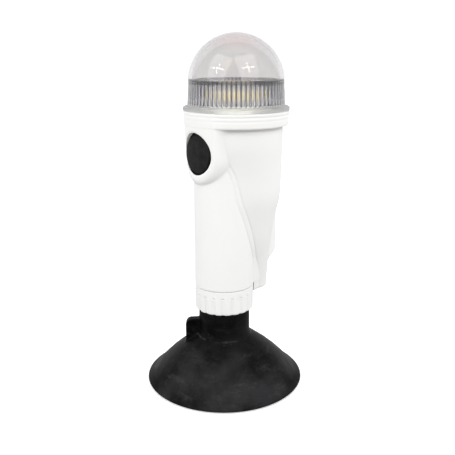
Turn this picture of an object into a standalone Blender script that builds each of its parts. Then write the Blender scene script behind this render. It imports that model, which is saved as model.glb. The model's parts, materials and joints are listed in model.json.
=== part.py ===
"""Portable battery navigation light standing on a suction base.

Row frame: +Z up, origin at the centre of the suction cup's rim on the surface it grips.
The push button faces -Y and the stiffening fin of the housing faces +Y.
The battery tube, the end cap and the cup share the Z axis. The head with the lens stands on
its own vertical axis, HEAD_OFFSET behind it. Every size in this file is in millimetres until
an object is made, and MM turns it into metres.
"""

import math

import bmesh
import bpy
from mathutils import Matrix, Vector

MM = 0.001
GAP = 0.3
ROUND = 40
SMALL_ROUND = 16
MERGE = 0.00001

# Suction base
CUP_RADIUS = 51.5
CUP_LIP_WIDTH = 2.6
CUP_HOLLOW_TOP = 25.0
NECK_RADIUS = 16.6
NECK_BOTTOM = 32.0
NECK_TOP = 49.7
LUG_REACH = 25.6
LUG_BOTTOM = 24.0
LUG_TOP = 41.0
LUG_WIDTH = 7.0
LUG_DIRECTION = math.radians(232.5)

# Stud that ties the cup to the end cap
STUD_RADIUS = 3.0
STUD_FLANGE_RADIUS = 9.0
STUD_FLANGE_BOTTOM = 36.5
STUD_FLANGE_TOP = 39.5
STUD_TOP = 61.1
NUT_RADIUS = 5.8
NUT_HEIGHT = 4.8

# End cap
CAP_BOTTOM = 50.0
CAP_TOP = 65.7
CAP_RADIUS = 19.0
CAP_FLOOR = 3.3
FLUTES = 20
FLUTE_DEPTH = 0.6
FLUTE_TOP = 60.5
SPIGOT_RADIUS = 16.7
SPIGOT_TOP = 75.5
CAP_BORE = 12.5
SPRING_SEAT_BORE = 13.5
SPRING_SEAT_LEDGE = 62.7

# Housing
TUBE_RADIUS = 19.0
TUBE_BORE = 17.0
TUBE_BOTTOM = CAP_TOP + GAP
WALL = 2.6
HEAD_OFFSET = 9.9
HEAD = (0, HEAD_OFFSET)
PIVOT = 16.5
COLLAR_BOTTOM = 168.2
COLLAR_TOP = 177.0
COLLAR_RADIUS = 33.06
LEDGE_BOTTOM = 164.5
LEDGE_TOP = 170.5
LEDGE_RADIUS = 23.5
SOCKET_RADIUS = 27.5
CAVITY_BOTTOM = 77.5
FIN_BACK = 43.3
FIN_WIDTH = 4.0
TOE_BOTTOM = 59.0

# The housing's wedge: height, distance of its centre behind the tube's axis, and radius
WEDGE = [
    (TUBE_BOTTOM, 23.2, 10.3),
    (73.5, 21.9, 11.8),
    (80.5, 20.2, 13.5),
    (88.5, 17.8, 16.2),
    (96.5, 15.5, 18.8),
    (105.5, 14.4, 20.8),
    (111.0, 14.1, 22.1),
    (116.0, 14.1, 23.4),
    (121.0, 14.0, 24.8),
    (128.0, 13.8, 25.6),
    (137.0, 13.1, 26.2),
    (147.0, 11.9, 27.3),
    (157.0, 10.4, 28.8),
    (172.0, HEAD_OFFSET, 29.2),
]

# Button and its switch, which share a level axis
BUTTON_HEIGHT = 152.5
BUTTON_CENTRE = (0, 0, BUTTON_HEIGHT)
FACING_FRONT = (math.pi / 2, 0, 0)
BOSS_RADIUS = 18.4
BOSS_CENTRE = 151.0
BOSS_FRONT_LOW = 31.2
BOSS_FRONT_HIGH = 32.9
RECESS_RADIUS = 12.9
RECESS_FLOOR = -11.4
PLATE_BACK = -8.6
SLEEVE_RADIUS = 15.3
STEM_HOLE = 4.4
BUTTON_RADIUS = 12.2
BUTTON_FRONT = -20.5
BUTTON_BACK = -16.6
BUSHING_RADIUS = 4.1
PLUNGER_RADIUS = 2.0
SWITCH_WIDTH = 14.0
SWITCH_DEPTH = 13.0

# Lens
LENS_BOTTOM = COLLAR_TOP + GAP
DOME_RADIUS = 29.6
DOME_CENTRE = 193.5
LENS_WALL = 2.1
LENS_FOOT_RADIUS = 30.26
LENS_FOOT = 180.1

# Light source on the head's axis
BOARD_RADIUS = 27.0
BOARD_THICKNESS = 1.6
BOARD_BOTTOM = LEDGE_TOP + GAP
SCREW_CIRCLE = 25.0
SCREW_START = math.pi / 6
POST_FLAT = 9.0
POST_TOP = 192.0
LED_COUNT = 6
LED_WIDTH = 5.0
LED_HEIGHT = 185.5

# Battery carrier
CARRIER_BOTTOM = 76.5
CARRIER_TOP = 134.0
CARRIER_RADIUS = 16.6
END_PLATE = 2.5
BATTERY_RADIUS = 7.0
BATTERY_LENGTH = 49.8
BATTERY_CIRCLE = 8.6
BATTERY_BOTTOM = 80.4

COLOURS = {
    "white_plastic": ((0.90, 0.90, 0.88, 1.0), 0.35, 0.0),
    "clear_plastic": ((0.85, 0.86, 0.87, 0.35), 0.05, 0.0),
    "black_rubber": ((0.035, 0.035, 0.035, 1.0), 0.7, 0.0),
    "seal_rubber": ((0.06, 0.06, 0.06, 1.0), 0.6, 0.0),
    "black_plastic": ((0.05, 0.05, 0.055, 1.0), 0.45, 0.0),
    "steel": ((0.62, 0.62, 0.63, 1.0), 0.3, 1.0),
    "brass": ((0.78, 0.62, 0.32, 1.0), 0.3, 1.0),
    "board_white": ((0.82, 0.84, 0.82, 1.0), 0.5, 0.0),
    "led_yellow": ((0.93, 0.78, 0.28, 1.0), 0.3, 0.0),
    "battery_sleeve": ((0.16, 0.22, 0.34, 1.0), 0.3, 0.0),
    "wire_red": ((0.60, 0.05, 0.04, 1.0), 0.45, 0.0),
    "wire_black": ((0.04, 0.04, 0.04, 1.0), 0.45, 0.0),
    "wire_white": ((0.80, 0.80, 0.78, 1.0), 0.45, 0.0),
}


# ---------------------------------------------------------------- scene and materials

def clear_scene():
    for item in list(bpy.data.objects):
        bpy.data.objects.remove(item, do_unlink=True)


def new_collection(name):
    collection = bpy.data.collections.new(name)
    bpy.context.scene.collection.children.link(collection)
    return collection


def material(name):
    found = bpy.data.materials.get(name)
    if found:
        return found
    colour, roughness, metallic = COLOURS[name]
    made = bpy.data.materials.new(name)
    made.use_nodes = True
    shader = made.node_tree.nodes["Principled BSDF"]
    shader.inputs["Base Color"].default_value = colour
    shader.inputs["Roughness"].default_value = roughness
    shader.inputs["Metallic"].default_value = metallic
    shader.inputs["Alpha"].default_value = colour[3]
    made.diffuse_color = colour
    return made


def place(name, mesh, finish, location=(0, 0, 0), rotation=(0, 0, 0)):
    """Make the named object from a mesh in metres; no finish means that it is a cutter."""
    item = bpy.data.objects.new(name, mesh)
    item.location = Vector(location) * MM
    item.rotation_euler = rotation
    if finish:
        item.data.materials.append(material(finish))
        PARTS.objects.link(item)
    else:
        CUTTERS.objects.link(item)
        item.hide_render = True
        item.display_type = "WIRE"
    return item


# ---------------------------------------------------------------- shapes

def turned(name, outline, finish, location=(0, 0, 0), rotation=(0, 0, 0), steps=ROUND):
    """A solid of revolution: (radius, height) pairs that run down its outer side."""
    mesh = bpy.data.meshes.new(name)
    points = [(radius * MM, 0.0, height * MM) for radius, height in outline]
    edges = [(index, index + 1) for index in range(len(points) - 1)]
    touches_axis = outline[0][0] == 0 and outline[-1][0] == 0
    if not touches_axis:
        edges.append((len(points) - 1, 0))
    mesh.from_pydata(points, edges, [])
    item = place(name, mesh, finish, location, rotation)
    screw = item.modifiers.new("turn", "SCREW")
    screw.axis = "Z"
    screw.steps = steps
    screw.render_steps = steps
    screw.use_merge_vertices = True
    screw.merge_threshold = MERGE
    screw.use_smooth_shade = True
    return item


def disc(name, radius, bottom, top, finish, centre=(0, 0), steps=ROUND):
    outline = [(0, top), (radius, top), (radius, bottom), (0, bottom)]
    return turned(name, outline, finish, (centre[0], centre[1], 0), steps=steps)


def washer(name, inner, outer, bottom, top, finish, centre=(0, 0), steps=ROUND):
    outline = [(outer, top), (outer, bottom), (inner, bottom), (inner, top)]
    return turned(name, outline, finish, (centre[0], centre[1], 0), steps=steps)


def seal_ring(name, ring_radius, section_radius, height, finish, centre=(0, 0)):
    corners = 6
    outline = []
    for index in range(corners):
        angle = math.pi / 2 - 2 * math.pi * index / corners
        radius = ring_radius + section_radius * math.cos(angle)
        outline.append((radius, height + section_radius * math.sin(angle)))
    return turned(name, outline, finish, (centre[0], centre[1], 0), steps=32)


def block(name, size, centre, finish, rotation=(0, 0, 0), bevel=0.0):
    mesh = bpy.data.meshes.new(name)
    shape = bmesh.new()
    bmesh.ops.create_cube(shape, size=1.0, matrix=Matrix.Diagonal([*(v * MM for v in size), 1.0]))
    shape.to_mesh(mesh)
    shape.free()
    item = place(name, mesh, finish, centre, rotation)
    if bevel:
        edge = item.modifiers.new("edge", "BEVEL")
        edge.width = bevel * MM
        edge.segments = 2
    return item


def prism(name, sides, circumradius, bottom, top, finish, centre=(0, 0), turn=0.0):
    mesh = bpy.data.meshes.new(name)
    shape = bmesh.new()
    bmesh.ops.create_cone(shape, cap_ends=True, segments=sides, radius1=circumradius * MM,
                          radius2=circumradius * MM, depth=(top - bottom) * MM)
    shape.to_mesh(mesh)
    shape.free()
    return place(name, mesh, finish, (centre[0], centre[1], (top + bottom) / 2), (0, 0, turn))


def loft(name, rings, finish):
    """Skin a stack of rings of equally many points, lowest ring first, and cap both ends."""
    mesh = bpy.data.meshes.new(name)
    count = len(rings[0])
    points = [Vector(point) * MM for ring in rings for point in ring]
    faces = [list(range(count))[::-1]]
    for level in range(len(rings) - 1):
        for index in range(count):
            after = (index + 1) % count
            low = level * count
            high = low + count
            faces.append((low + index, low + after, high + after, high + index))
    faces.append([(len(rings) - 1) * count + index for index in range(count)])
    mesh.from_pydata(points, [], faces)
    shape = bmesh.new()
    shape.from_mesh(mesh)
    bmesh.ops.triangulate(shape, faces=shape.faces)
    shape.to_mesh(mesh)
    shape.free()
    return place(name, mesh, finish)


def tube(name, route, radius, finish, corners=2):
    """A wire or spring: a poly curve through the route, with round filled ends."""
    curve = bpy.data.curves.new(name, "CURVE")
    curve.dimensions = "3D"
    curve.bevel_depth = radius * MM
    curve.bevel_resolution = corners
    curve.use_fill_caps = True
    spline = curve.splines.new("POLY")
    spline.points.add(len(route) - 1)
    for point, target in zip(spline.points, route):
        point.co = (*(value * MM for value in target), 1.0)
    return place(name, curve, finish)


def smooth_route(knots, pieces=5):
    """Points along a Catmull-Rom curve through the knots."""
    ends = [knots[0], *knots, knots[-1]]
    route = []
    for start in range(len(knots) - 1):
        a, b, c, d = (Vector(ends[start + step]) for step in range(4))
        for step in range(pieces):
            t = step / pieces
            route.append(0.5 * (2 * b + (c - a) * t + (2 * a - 5 * b + 4 * c - d) * t ** 2
                                + (3 * b - a - 3 * c + d) * t ** 3))
    route.append(Vector(knots[-1]))
    return route


def combine(item, other, operation):
    """EXACT leaves slits where the housing's curved walls meet, so MANIFOLD does those."""
    step = item.modifiers.new(f"{operation.lower()} {other.name}", "BOOLEAN")
    step.operation = operation
    step.solver = "MANIFOLD" if item.name in ("housing", "hollow") else "EXACT"
    step.object = other


def join(item, *others):
    for other in others:
        combine(item, other, "UNION")


def cut(item, *others):
    for other in others:
        combine(item, other, "DIFFERENCE")


def around(count, radius, centre=(0, 0), start=0.0):
    """Evenly spaced (x, y, angle) places on a circle."""
    places = []
    for index in range(count):
        angle = start + 2 * math.pi * index / count
        x = centre[0] + radius * math.cos(angle)
        y = centre[1] + radius * math.sin(angle)
        places.append((x, y, angle))
    return places


# ---------------------------------------------------------------- suction base

def make_suction_cup():
    """Rubber cup with a dished underside, a neck around the stud and a release lug."""
    stud_room = STUD_FLANGE_RADIUS + GAP
    hole = STUD_RADIUS + GAP
    inside = [(0, STUD_FLANGE_BOTTOM - GAP), (stud_room, STUD_FLANGE_BOTTOM - GAP),
              (stud_room, STUD_FLANGE_TOP + GAP), (hole, STUD_FLANGE_TOP + GAP),
              (hole, NECK_TOP)]
    neck = [(NECK_RADIUS, NECK_TOP), (NECK_RADIUS, NECK_BOTTOM + 1.0),
            (NECK_RADIUS + 1.2, NECK_BOTTOM - 0.6)]
    skirt = [(23.8, 26.6), (30.9, 21.2), (37.3, 15.6), (42.7, 10.1), (47.4, 4.9),
             (50.7, 1.5), (CUP_RADIUS, 0.6), (CUP_RADIUS, 0)]
    underside = [(CUP_RADIUS - CUP_LIP_WIDTH, 0), (45.0, 3.0), (40.2, 8.2), (34.6, 13.6),
                 (28.0, 18.8), (20.0, 22.6), (10.0, 24.6), (0, CUP_HOLLOW_TOP)]
    cup = turned("suction_cup", inside + neck + skirt + underside, "black_rubber")
    lug = make_lug()
    join(cup, lug)
    return cup


def make_lug():
    """Finger lug: a plate with a rounded outer top corner, standing out of the neck."""
    corner = 4.0
    root = NECK_RADIUS - 4.6
    outline = [(LUG_REACH, LUG_BOTTOM), (LUG_REACH, LUG_TOP - corner)]
    for step in range(1, 4):
        angle = math.pi / 2 * step / 4
        reach = LUG_REACH - corner + corner * math.cos(angle)
        outline.append((reach, LUG_TOP - corner + corner * math.sin(angle)))
    outline += [(LUG_REACH - corner, LUG_TOP), (root, LUG_TOP), (root, LUG_BOTTOM + 3.0)]
    rings = []
    for side in (0.5, -0.5):
        ring = []
        for reach, height in outline:
            x = reach * math.cos(LUG_DIRECTION) - side * LUG_WIDTH * math.sin(LUG_DIRECTION)
            y = reach * math.sin(LUG_DIRECTION) + side * LUG_WIDTH * math.cos(LUG_DIRECTION)
            ring.append((x, y, height))
        rings.append(ring)
    return loft("lug_shape", rings, None)


def make_stud():
    outline = [(0, STUD_TOP), (STUD_RADIUS - 0.5, STUD_TOP), (STUD_RADIUS, STUD_TOP - 0.5),
               (STUD_RADIUS, STUD_FLANGE_TOP), (STUD_FLANGE_RADIUS, STUD_FLANGE_TOP),
               (STUD_FLANGE_RADIUS, STUD_FLANGE_BOTTOM), (0, STUD_FLANGE_BOTTOM)]
    turned("base_stud", outline, "steel", steps=24)
    washer_bottom = CAP_BOTTOM + CAP_FLOOR + GAP
    washer_top = washer_bottom + 1.2
    washer("base_washer", STUD_RADIUS + GAP, 7.0, washer_bottom, washer_top, "steel", steps=24)
    nut_bottom = washer_top + GAP
    nut = prism("base_nut", 6, NUT_RADIUS, nut_bottom, nut_bottom + NUT_HEIGHT, "steel")
    hole = disc("nut_hole", STUD_RADIUS + GAP, nut_bottom - 1, nut_bottom + NUT_HEIGHT + 1,
                None, steps=24)
    cut(nut, hole)


def fluted_ring(height, radius, depth):
    """One ring of the end cap: depth is how far the flutes cut in at this height."""
    points_per_flute = 3
    ring = []
    for index in range(FLUTES * points_per_flute):
        angle = 2 * math.pi * index / (FLUTES * points_per_flute)
        in_flute = index % points_per_flute > 0
        reach = radius - (depth if in_flute else 0.0)
        ring.append((reach * math.cos(angle), reach * math.sin(angle), height))
    return ring


def make_end_cap():
    """Fluted screw cap that closes the battery tube, with its spigot inside the tube."""
    edge = 0.7
    groove_bottom = CAP_TOP + 1.2
    groove_top = groove_bottom + 1.8
    rings = [fluted_ring(CAP_BOTTOM, CAP_RADIUS - 1.5 * edge, FLUTE_DEPTH / 2),
             fluted_ring(CAP_BOTTOM + edge, CAP_RADIUS, FLUTE_DEPTH),
             fluted_ring(FLUTE_TOP, CAP_RADIUS, FLUTE_DEPTH),
             fluted_ring(FLUTE_TOP + edge, CAP_RADIUS, 0.0),
             fluted_ring(CAP_TOP, CAP_RADIUS, 0.0)]
    cap = loft("end_cap", rings, "white_plastic")
    spigot = disc("spigot_shape", SPIGOT_RADIUS, CAP_TOP - 5, SPIGOT_TOP, None)
    floor = CAP_BOTTOM + CAP_FLOOR
    hole = disc("cap_hole", STUD_RADIUS + 0.4, CAP_BOTTOM - 1, floor + 1, None, steps=24)
    bore = disc("cap_bore", CAP_BORE, floor, SPRING_SEAT_LEDGE + 1, None)
    seat = disc("cap_seat", SPRING_SEAT_BORE, SPRING_SEAT_LEDGE, SPIGOT_TOP + 1, None)
    groove = washer("seal_groove", SPIGOT_RADIUS - 1.4, SPIGOT_RADIUS + 0.2,
                    groove_bottom, groove_top, None)
    join(cap, spigot)
    cut(cap, hole, bore, seat, groove)
    seal_height = (groove_bottom + groove_top) / 2
    seal_ring("end_cap_seal", SPIGOT_RADIUS - 0.6, 0.5, seal_height, "seal_rubber")


def make_cap_spring():
    seat_bottom = SPRING_SEAT_LEDGE + GAP
    seat_top = seat_bottom + 0.8
    disc("spring_seat", SPRING_SEAT_BORE - GAP, seat_bottom, seat_top, "steel")
    wire = 0.45
    turns = 4
    points_per_turn = 10
    bottom = seat_top + GAP + wire
    top = CARRIER_BOTTOM - GAP - wire
    route = []
    for index in range(turns * points_per_turn + 1):
        along = index / (turns * points_per_turn)
        angle = 2 * math.pi * turns * along
        radius = 9.0 - 3.0 * along
        height = bottom + (top - bottom) * along
        route.append((radius * math.cos(angle), radius * math.sin(angle), height))
    tube("cap_spring", route, wire, "steel", corners=1)


# ---------------------------------------------------------------- housing

def wedge_at(height):
    """Centre and radius of the wedge at a height, between the stations of WEDGE."""
    for below, above in zip(WEDGE, WEDGE[1:]):
        if height <= above[0]:
            part = (height - below[0]) / (above[0] - below[0])
            centre = below[1] + (above[1] - below[1]) * part
            radius = below[2] + (above[2] - below[2]) * part
            return centre, radius
    return WEDGE[-1][1:]


def reach_of_circle(angle, centre, radius):
    """Distance from the pivot to a circle about (0, centre), in a direction."""
    offset = centre - PIVOT
    along = offset * math.sin(angle)
    return along + math.sqrt(max(radius ** 2 - offset ** 2 + along ** 2, 0.0))


def housing_ring(height, count, inset, tube_radius, crease):
    """Outline where the tube and the wedge run into each other with a hollow crease."""
    centre, radius = wedge_at(height)
    ring = []
    for index in range(count):
        angle = 2 * math.pi * index / count
        tube_reach = reach_of_circle(angle, 0.0, tube_radius)
        wedge_reach = reach_of_circle(angle, centre, radius - inset)
        blend = max(crease - abs(tube_reach - wedge_reach), 0.0)
        fill = blend ** 2 / (4 * crease) if crease else 0.0
        reach = max(tube_reach, wedge_reach) + fill
        ring.append((reach * math.cos(angle), PIVOT + reach * math.sin(angle), height))
    return ring


def make_housing():
    """White moulding: battery tube, wedge behind it, head with collar, and button boss."""
    crease = 2.4
    outer = []
    for height, _centre, _radius in WEDGE:
        fading = min(max((158.0 - height) / 20.0, 0.15), 1.0)
        outer.append(housing_ring(height, 56, 0.0, TUBE_RADIUS, crease * fading))
    housing = loft("housing", outer, "white_plastic")
    toe = turned("toe_shape", [(0, 68.0), (10.3, 68.0), (9.8, TOE_BOTTOM + 2.2),
                               (9.1, TOE_BOTTOM + 0.7), (7.6, TOE_BOTTOM), (0, TOE_BOTTOM)],
                 None, (0, 23.3, 0), steps=32)
    join(housing, toe, make_collar(), make_boss(), make_fin())
    cut(housing, disc("cap_clearance", CAP_RADIUS + 0.5, 55.0, TUBE_BOTTOM, None, steps=64))
    cut(housing, make_hollow())
    cut_button_well(housing)
    for number, (x, y, _angle) in enumerate(around(3, SCREW_CIRCLE, HEAD, SCREW_START)):
        pilot = disc(f"pilot_{number}", 1.25, LEDGE_BOTTOM - 2, LEDGE_TOP + 1, None, (x, y), 12)
        cut(housing, pilot)


def make_collar():
    bead = 0.9
    outline = [(0, COLLAR_TOP), (COLLAR_RADIUS - bead, COLLAR_TOP),
               (COLLAR_RADIUS - bead * 0.3, COLLAR_TOP - bead * 0.3),
               (COLLAR_RADIUS, COLLAR_TOP - bead), (COLLAR_RADIUS, COLLAR_BOTTOM + 1.2),
               (COLLAR_RADIUS - 0.9, COLLAR_BOTTOM), (0, COLLAR_BOTTOM)]
    return turned("collar_shape", outline, None, (*HEAD, 0))


def boss_front(x, height):
    """How far the boss's front stands before the tube's axis: it carries on the collar's curve."""
    foot = BOSS_CENTRE - BOSS_RADIUS
    above_foot = (height - foot) / (COLLAR_BOTTOM - foot)
    radius = BOSS_FRONT_LOW + (BOSS_FRONT_HIGH - BOSS_FRONT_LOW) * above_foot
    return math.sqrt(radius ** 2 - x ** 2) - HEAD_OFFSET


def make_boss():
    """Boss around the button: rounded below, upright sides that run up into the collar."""
    bezel = [(0.4, 9.0), (0.0, 5.6), (-0.6, 3.4), (-1.4, 1.8), (-2.4, 0.8), (-3.6, 0.2), (-4.6, 0.0)]
    bend = 16
    top = COLLAR_BOTTOM + 1.5
    rings = []
    for grow, drop in bezel:
        radius = BOSS_RADIUS + grow
        outline = [(radius, top), (-radius, top)]
        for index in range(bend + 1):
            angle = math.pi + math.pi * index / bend
            outline.append((radius * math.cos(angle), BOSS_CENTRE + radius * math.sin(angle)))
        rings.append([(x, drop - boss_front(x, height), height) for x, height in outline])
    return loft("boss_shape", rings, None)


def make_fin():
    """Upright stiffening fin down the middle of the housing's back."""
    outline = [(30.0, 69.0), (33.0, 69.0), (37.0, 74.7), (FIN_BACK, 81.5), (FIN_BACK, 126.0),
               (39.0, 136.0), (30.0, 136.0)]
    rings = []
    for side in (-0.5, 0.5):
        rings.append([(side * FIN_WIDTH, y, height) for y, height in outline])
    return loft("fin_shape", rings, None)


def make_hollow():
    """Inside of the housing: bore, wedge and head hollow, lens socket, less the button sleeve."""
    heights = [CAVITY_BOTTOM, 88.5, 100.0, 111.0, 121.0, 134.0, 148.0, LEDGE_BOTTOM]
    rings = [housing_ring(height, 44, WALL, TUBE_BORE + 0.3, 0.0) for height in heights]
    hollow = loft("hollow", rings, None)
    bore = disc("tube_bore", TUBE_BORE, 60.0, CAVITY_BOTTOM + 1, None)
    passage = disc("ledge_bore", LEDGE_RADIUS, LEDGE_BOTTOM - 1, LEDGE_TOP + 1, None, HEAD)
    socket = disc("lens_socket", SOCKET_RADIUS, LEDGE_TOP, COLLAR_TOP + 1, None, HEAD)
    sleeve = turned("sleeve_shape", [(0, 22.0), (SLEEVE_RADIUS, 22.0),
                                     (SLEEVE_RADIUS, -PLATE_BACK), (0, -PLATE_BACK)],
                    None, BUTTON_CENTRE, FACING_FRONT)
    join(hollow, bore, passage, socket)
    cut(hollow, sleeve)
    return hollow


def cut_button_well(housing):
    """Recess for the button in the boss, and the hole for the switch's bushing."""
    recess = turned("recess", [(0, 26.0), (RECESS_RADIUS, 26.0),
                               (RECESS_RADIUS, -RECESS_FLOOR), (0, -RECESS_FLOOR)],
                    None, BUTTON_CENTRE, FACING_FRONT)
    hole = turned("bushing_hole", [(0, 14.0), (STEM_HOLE, 14.0), (STEM_HOLE, 6.0), (0, 6.0)],
                  None, BUTTON_CENTRE, FACING_FRONT, steps=24)
    cut(housing, recess, hole)


# ---------------------------------------------------------------- button and switch

def make_button():
    crown = 0.5
    outline = [(0, -BUTTON_FRONT), (BUTTON_RADIUS * 0.6, -BUTTON_FRONT - crown * 0.25),
               (BUTTON_RADIUS - 1.0, -BUTTON_FRONT - crown),
               (BUTTON_RADIUS, -BUTTON_FRONT - 1.2), (BUTTON_RADIUS, -BUTTON_BACK),
               (0, -BUTTON_BACK)]
    turned("button_cap", outline, "black_rubber", BUTTON_CENTRE, FACING_FRONT)
    tip = -BUTTON_BACK - GAP
    turned("switch_plunger", [(0, tip), (PLUNGER_RADIUS, tip), (PLUNGER_RADIUS, 8.0), (0, 8.0)],
           "black_plastic", BUTTON_CENTRE, FACING_FRONT, steps=SMALL_ROUND)


def make_switch():
    """Panel switch behind the well's floor, held by a nut over a sealing washer."""
    front = PLATE_BACK + GAP
    centre = (0, front + SWITCH_DEPTH / 2, BUTTON_HEIGHT)
    body = block("switch_body", (SWITCH_WIDTH, SWITCH_DEPTH, SWITCH_WIDTH), centre,
                 "black_plastic")
    bushing = turned("bushing_shape", [(0, 14.5), (BUSHING_RADIUS, 14.5),
                                       (BUSHING_RADIUS, 4.0), (0, 4.0)],
                     None, BUTTON_CENTRE, FACING_FRONT, 24)
    bore = turned("plunger_bore", [(0, 16.0), (PLUNGER_RADIUS + 0.4, 16.0),
                                   (PLUNGER_RADIUS + 0.4, 5.4), (0, 5.4)],
                  None, BUTTON_CENTRE, FACING_FRONT, 24)
    join(body, bushing)
    cut(body, bore)
    seal = [(7.5, 12.4), (7.5, 11.7), (BUSHING_RADIUS + GAP, 11.7), (BUSHING_RADIUS + GAP, 12.4)]
    turned("switch_seal", seal, "seal_rubber", BUTTON_CENTRE, FACING_FRONT, 24)
    nut = prism("switch_nut", 6, 6.6, -0.8, 0.8, "steel")
    nut.location = Vector((0, -13.5, BUTTON_HEIGHT)) * MM
    nut.rotation_euler = FACING_FRONT
    hole = turned("switch_nut_hole", [(0, 16.0), (BUSHING_RADIUS + GAP, 16.0),
                                      (BUSHING_RADIUS + GAP, 11.0), (0, 11.0)],
                  None, BUTTON_CENTRE, FACING_FRONT, 24)
    cut(nut, hole)
    back = front + SWITCH_DEPTH
    for side, x in (("left", -4.0), ("right", 4.0)):
        block(f"switch_terminal_{side}", (2.8, 3.6, 0.8), (x, back + GAP + 1.8, BUTTON_HEIGHT),
              "brass")


# ---------------------------------------------------------------- lens and light source

def dome(radius, start, stop, steps):
    """Points down a dome about DOME_CENTRE between two angles above the level."""
    points = []
    for index in range(steps + 1):
        angle = start + (stop - start) * index / steps
        points.append((radius * math.cos(angle), DOME_CENTRE + radius * math.sin(angle)))
    return points


def make_lens():
    """Clear one-piece cover: dome, upright band, flange, and a spigot with its seal."""
    inner = DOME_RADIUS - LENS_WALL
    outside = [(0, DOME_CENTRE + DOME_RADIUS)]
    outside += dome(DOME_RADIUS, math.radians(80), 0.0, 8)
    flange = [(LENS_FOOT_RADIUS, LENS_FOOT), (32.4, 179.8), (COLLAR_RADIUS, 179.1),
              (COLLAR_RADIUS, LENS_BOTTOM), (27.2, LENS_BOTTOM)]
    spigot = [(27.2, 176.85), (25.9, 176.85), (25.9, 175.35), (27.2, 175.35), (27.2, 174.5),
              (24.4, 174.5), (24.4, 178.7), (inner, LENS_FOOT)]
    inside = dome(inner, 0.0, math.radians(78), 6) + [(0, DOME_CENTRE + inner)]
    outline = outside + flange + spigot + inside
    turned("lens", outline, "clear_plastic", (*HEAD, 0))
    seal_ring("lens_seal", 26.65, 0.45, 176.1, "seal_rubber", HEAD)


def make_light_source():
    board_top = BOARD_BOTTOM + BOARD_THICKNESS
    board = disc("led_board", BOARD_RADIUS, BOARD_BOTTOM, board_top, "board_white", HEAD)
    for number, (x, y, _angle) in enumerate(around(3, SCREW_CIRCLE, HEAD, SCREW_START), 1):
        hole = disc(f"board_hole_{number}", 1.25, BOARD_BOTTOM - 1, board_top + 1, None, (x, y), 12)
        cut(board, hole)
        seat = board_top + GAP
        outline = [(0, seat + 1.3), (1.6, seat + 1.3), (2.1, seat + 0.8), (2.1, seat),
                   (0.9, seat), (0.9, LEDGE_BOTTOM + 1.0), (0, LEDGE_BOTTOM + 1.0)]
        turned(f"board_screw_{number}", outline, "steel", (x, y, 0), steps=12)
    post_bottom = board_top + GAP
    corner = POST_FLAT / math.cos(math.pi / 6)
    prism("led_post", 6, corner, post_bottom, POST_TOP, "board_white", HEAD)
    turned("post_cap", [(0, POST_TOP + 2.6), (3.0, POST_TOP + 2.3), (11.4, POST_TOP + 1.2),
                        (11.4, POST_TOP + GAP), (0, POST_TOP + GAP)],
           "white_plastic", (*HEAD, 0), steps=32)
    led_thickness = 1.4
    reach = POST_FLAT + GAP + led_thickness / 2
    for number, (x, y, angle) in enumerate(around(LED_COUNT, reach, HEAD), 1):
        block(f"led_{number}", (led_thickness, LED_WIDTH, LED_WIDTH), (x, y, LED_HEIGHT),
              "led_yellow", (0, 0, angle))
    chip_height = 1.2
    chip_middle = post_bottom + chip_height / 2
    block("driver_chip", (5.0, 4.0, chip_height), (-13.5, 15.0, chip_middle), "black_plastic")
    block("resistor", (3.2, 1.6, 0.9), (14.0, 4.0, post_bottom + 0.45), "black_plastic")


# ---------------------------------------------------------------- power

def make_carrier():
    """Open cage for three cells: two end plates, a spine and three rails."""
    carrier = disc("battery_carrier", CARRIER_RADIUS, CARRIER_BOTTOM,
                   CARRIER_BOTTOM + END_PLATE, "black_plastic", steps=36)
    upper = disc("carrier_top_shape", CARRIER_RADIUS, CARRIER_TOP - END_PLATE, CARRIER_TOP,
                 None, steps=36)
    middle = (CARRIER_BOTTOM + CARRIER_TOP) / 2
    length = CARRIER_TOP - CARRIER_BOTTOM - END_PLATE
    spine = disc("spine_shape", 1.0, middle - length / 2, middle + length / 2, None, steps=8)
    join(carrier, spine)
    for number, (x, y, angle) in enumerate(around(3, 14.6, (0, 0), -math.pi / 6 + math.pi)):
        rail = block(f"rail_shape_{number}", (2.4, 5.0, length), (x, y, middle), None,
                     (0, 0, angle))
        join(carrier, rail)
    join(carrier, upper)


def make_batteries():
    """Three AA cells in series, the middle one upside down, with their links."""
    nub = 1.3
    places = around(3, BATTERY_CIRCLE, (0, 0), math.pi / 2)
    for number, (x, y, _angle) in enumerate(places, 1):
        flipped = number == 2
        bottom = BATTERY_BOTTOM
        shoulder = BATTERY_LENGTH - nub
        outline = [(0, BATTERY_LENGTH), (2.7, BATTERY_LENGTH), (2.7, shoulder),
                   (BATTERY_RADIUS - 0.5, shoulder), (BATTERY_RADIUS, shoulder - 0.5),
                   (BATTERY_RADIUS, 0), (0, 0)]
        if flipped:
            place_at = (x, y, bottom + BATTERY_LENGTH)
            turned(f"battery_{number}", outline, "battery_sleeve", place_at, (math.pi, 0, 0), 24)
        else:
            turned(f"battery_{number}", outline, "battery_sleeve", (x, y, bottom), steps=24)
    strip = 0.6
    low = CARRIER_BOTTOM + END_PLATE + GAP + strip / 2
    high = CARRIER_TOP - END_PLATE - GAP - strip / 2
    link_between("cell_link_top", places[0], places[1], high, strip)
    link_between("cell_link_bottom", places[1], places[2], low, strip)
    for name, (x, y, _angle) in (("negative", places[0]), ("positive", places[2])):
        rivet_bottom = CARRIER_TOP + GAP
        disc(f"{name}_terminal", 2.4, rivet_bottom, rivet_bottom + 1.0, "brass", (x, y), 16)


def link_between(name, start, end, height, thickness):
    """Flat brass strip that joins two neighbouring cells, clear of the spine."""
    middle = Vector(((start[0] + end[0]) / 2, (start[1] + end[1]) / 2, height))
    across = Vector((end[0] - start[0], end[1] - start[1], 0))
    turn = math.atan2(across.y, across.x)
    block(name, (across.length + 4.0, 4.0, thickness), middle, "brass", (0, 0, turn))


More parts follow.
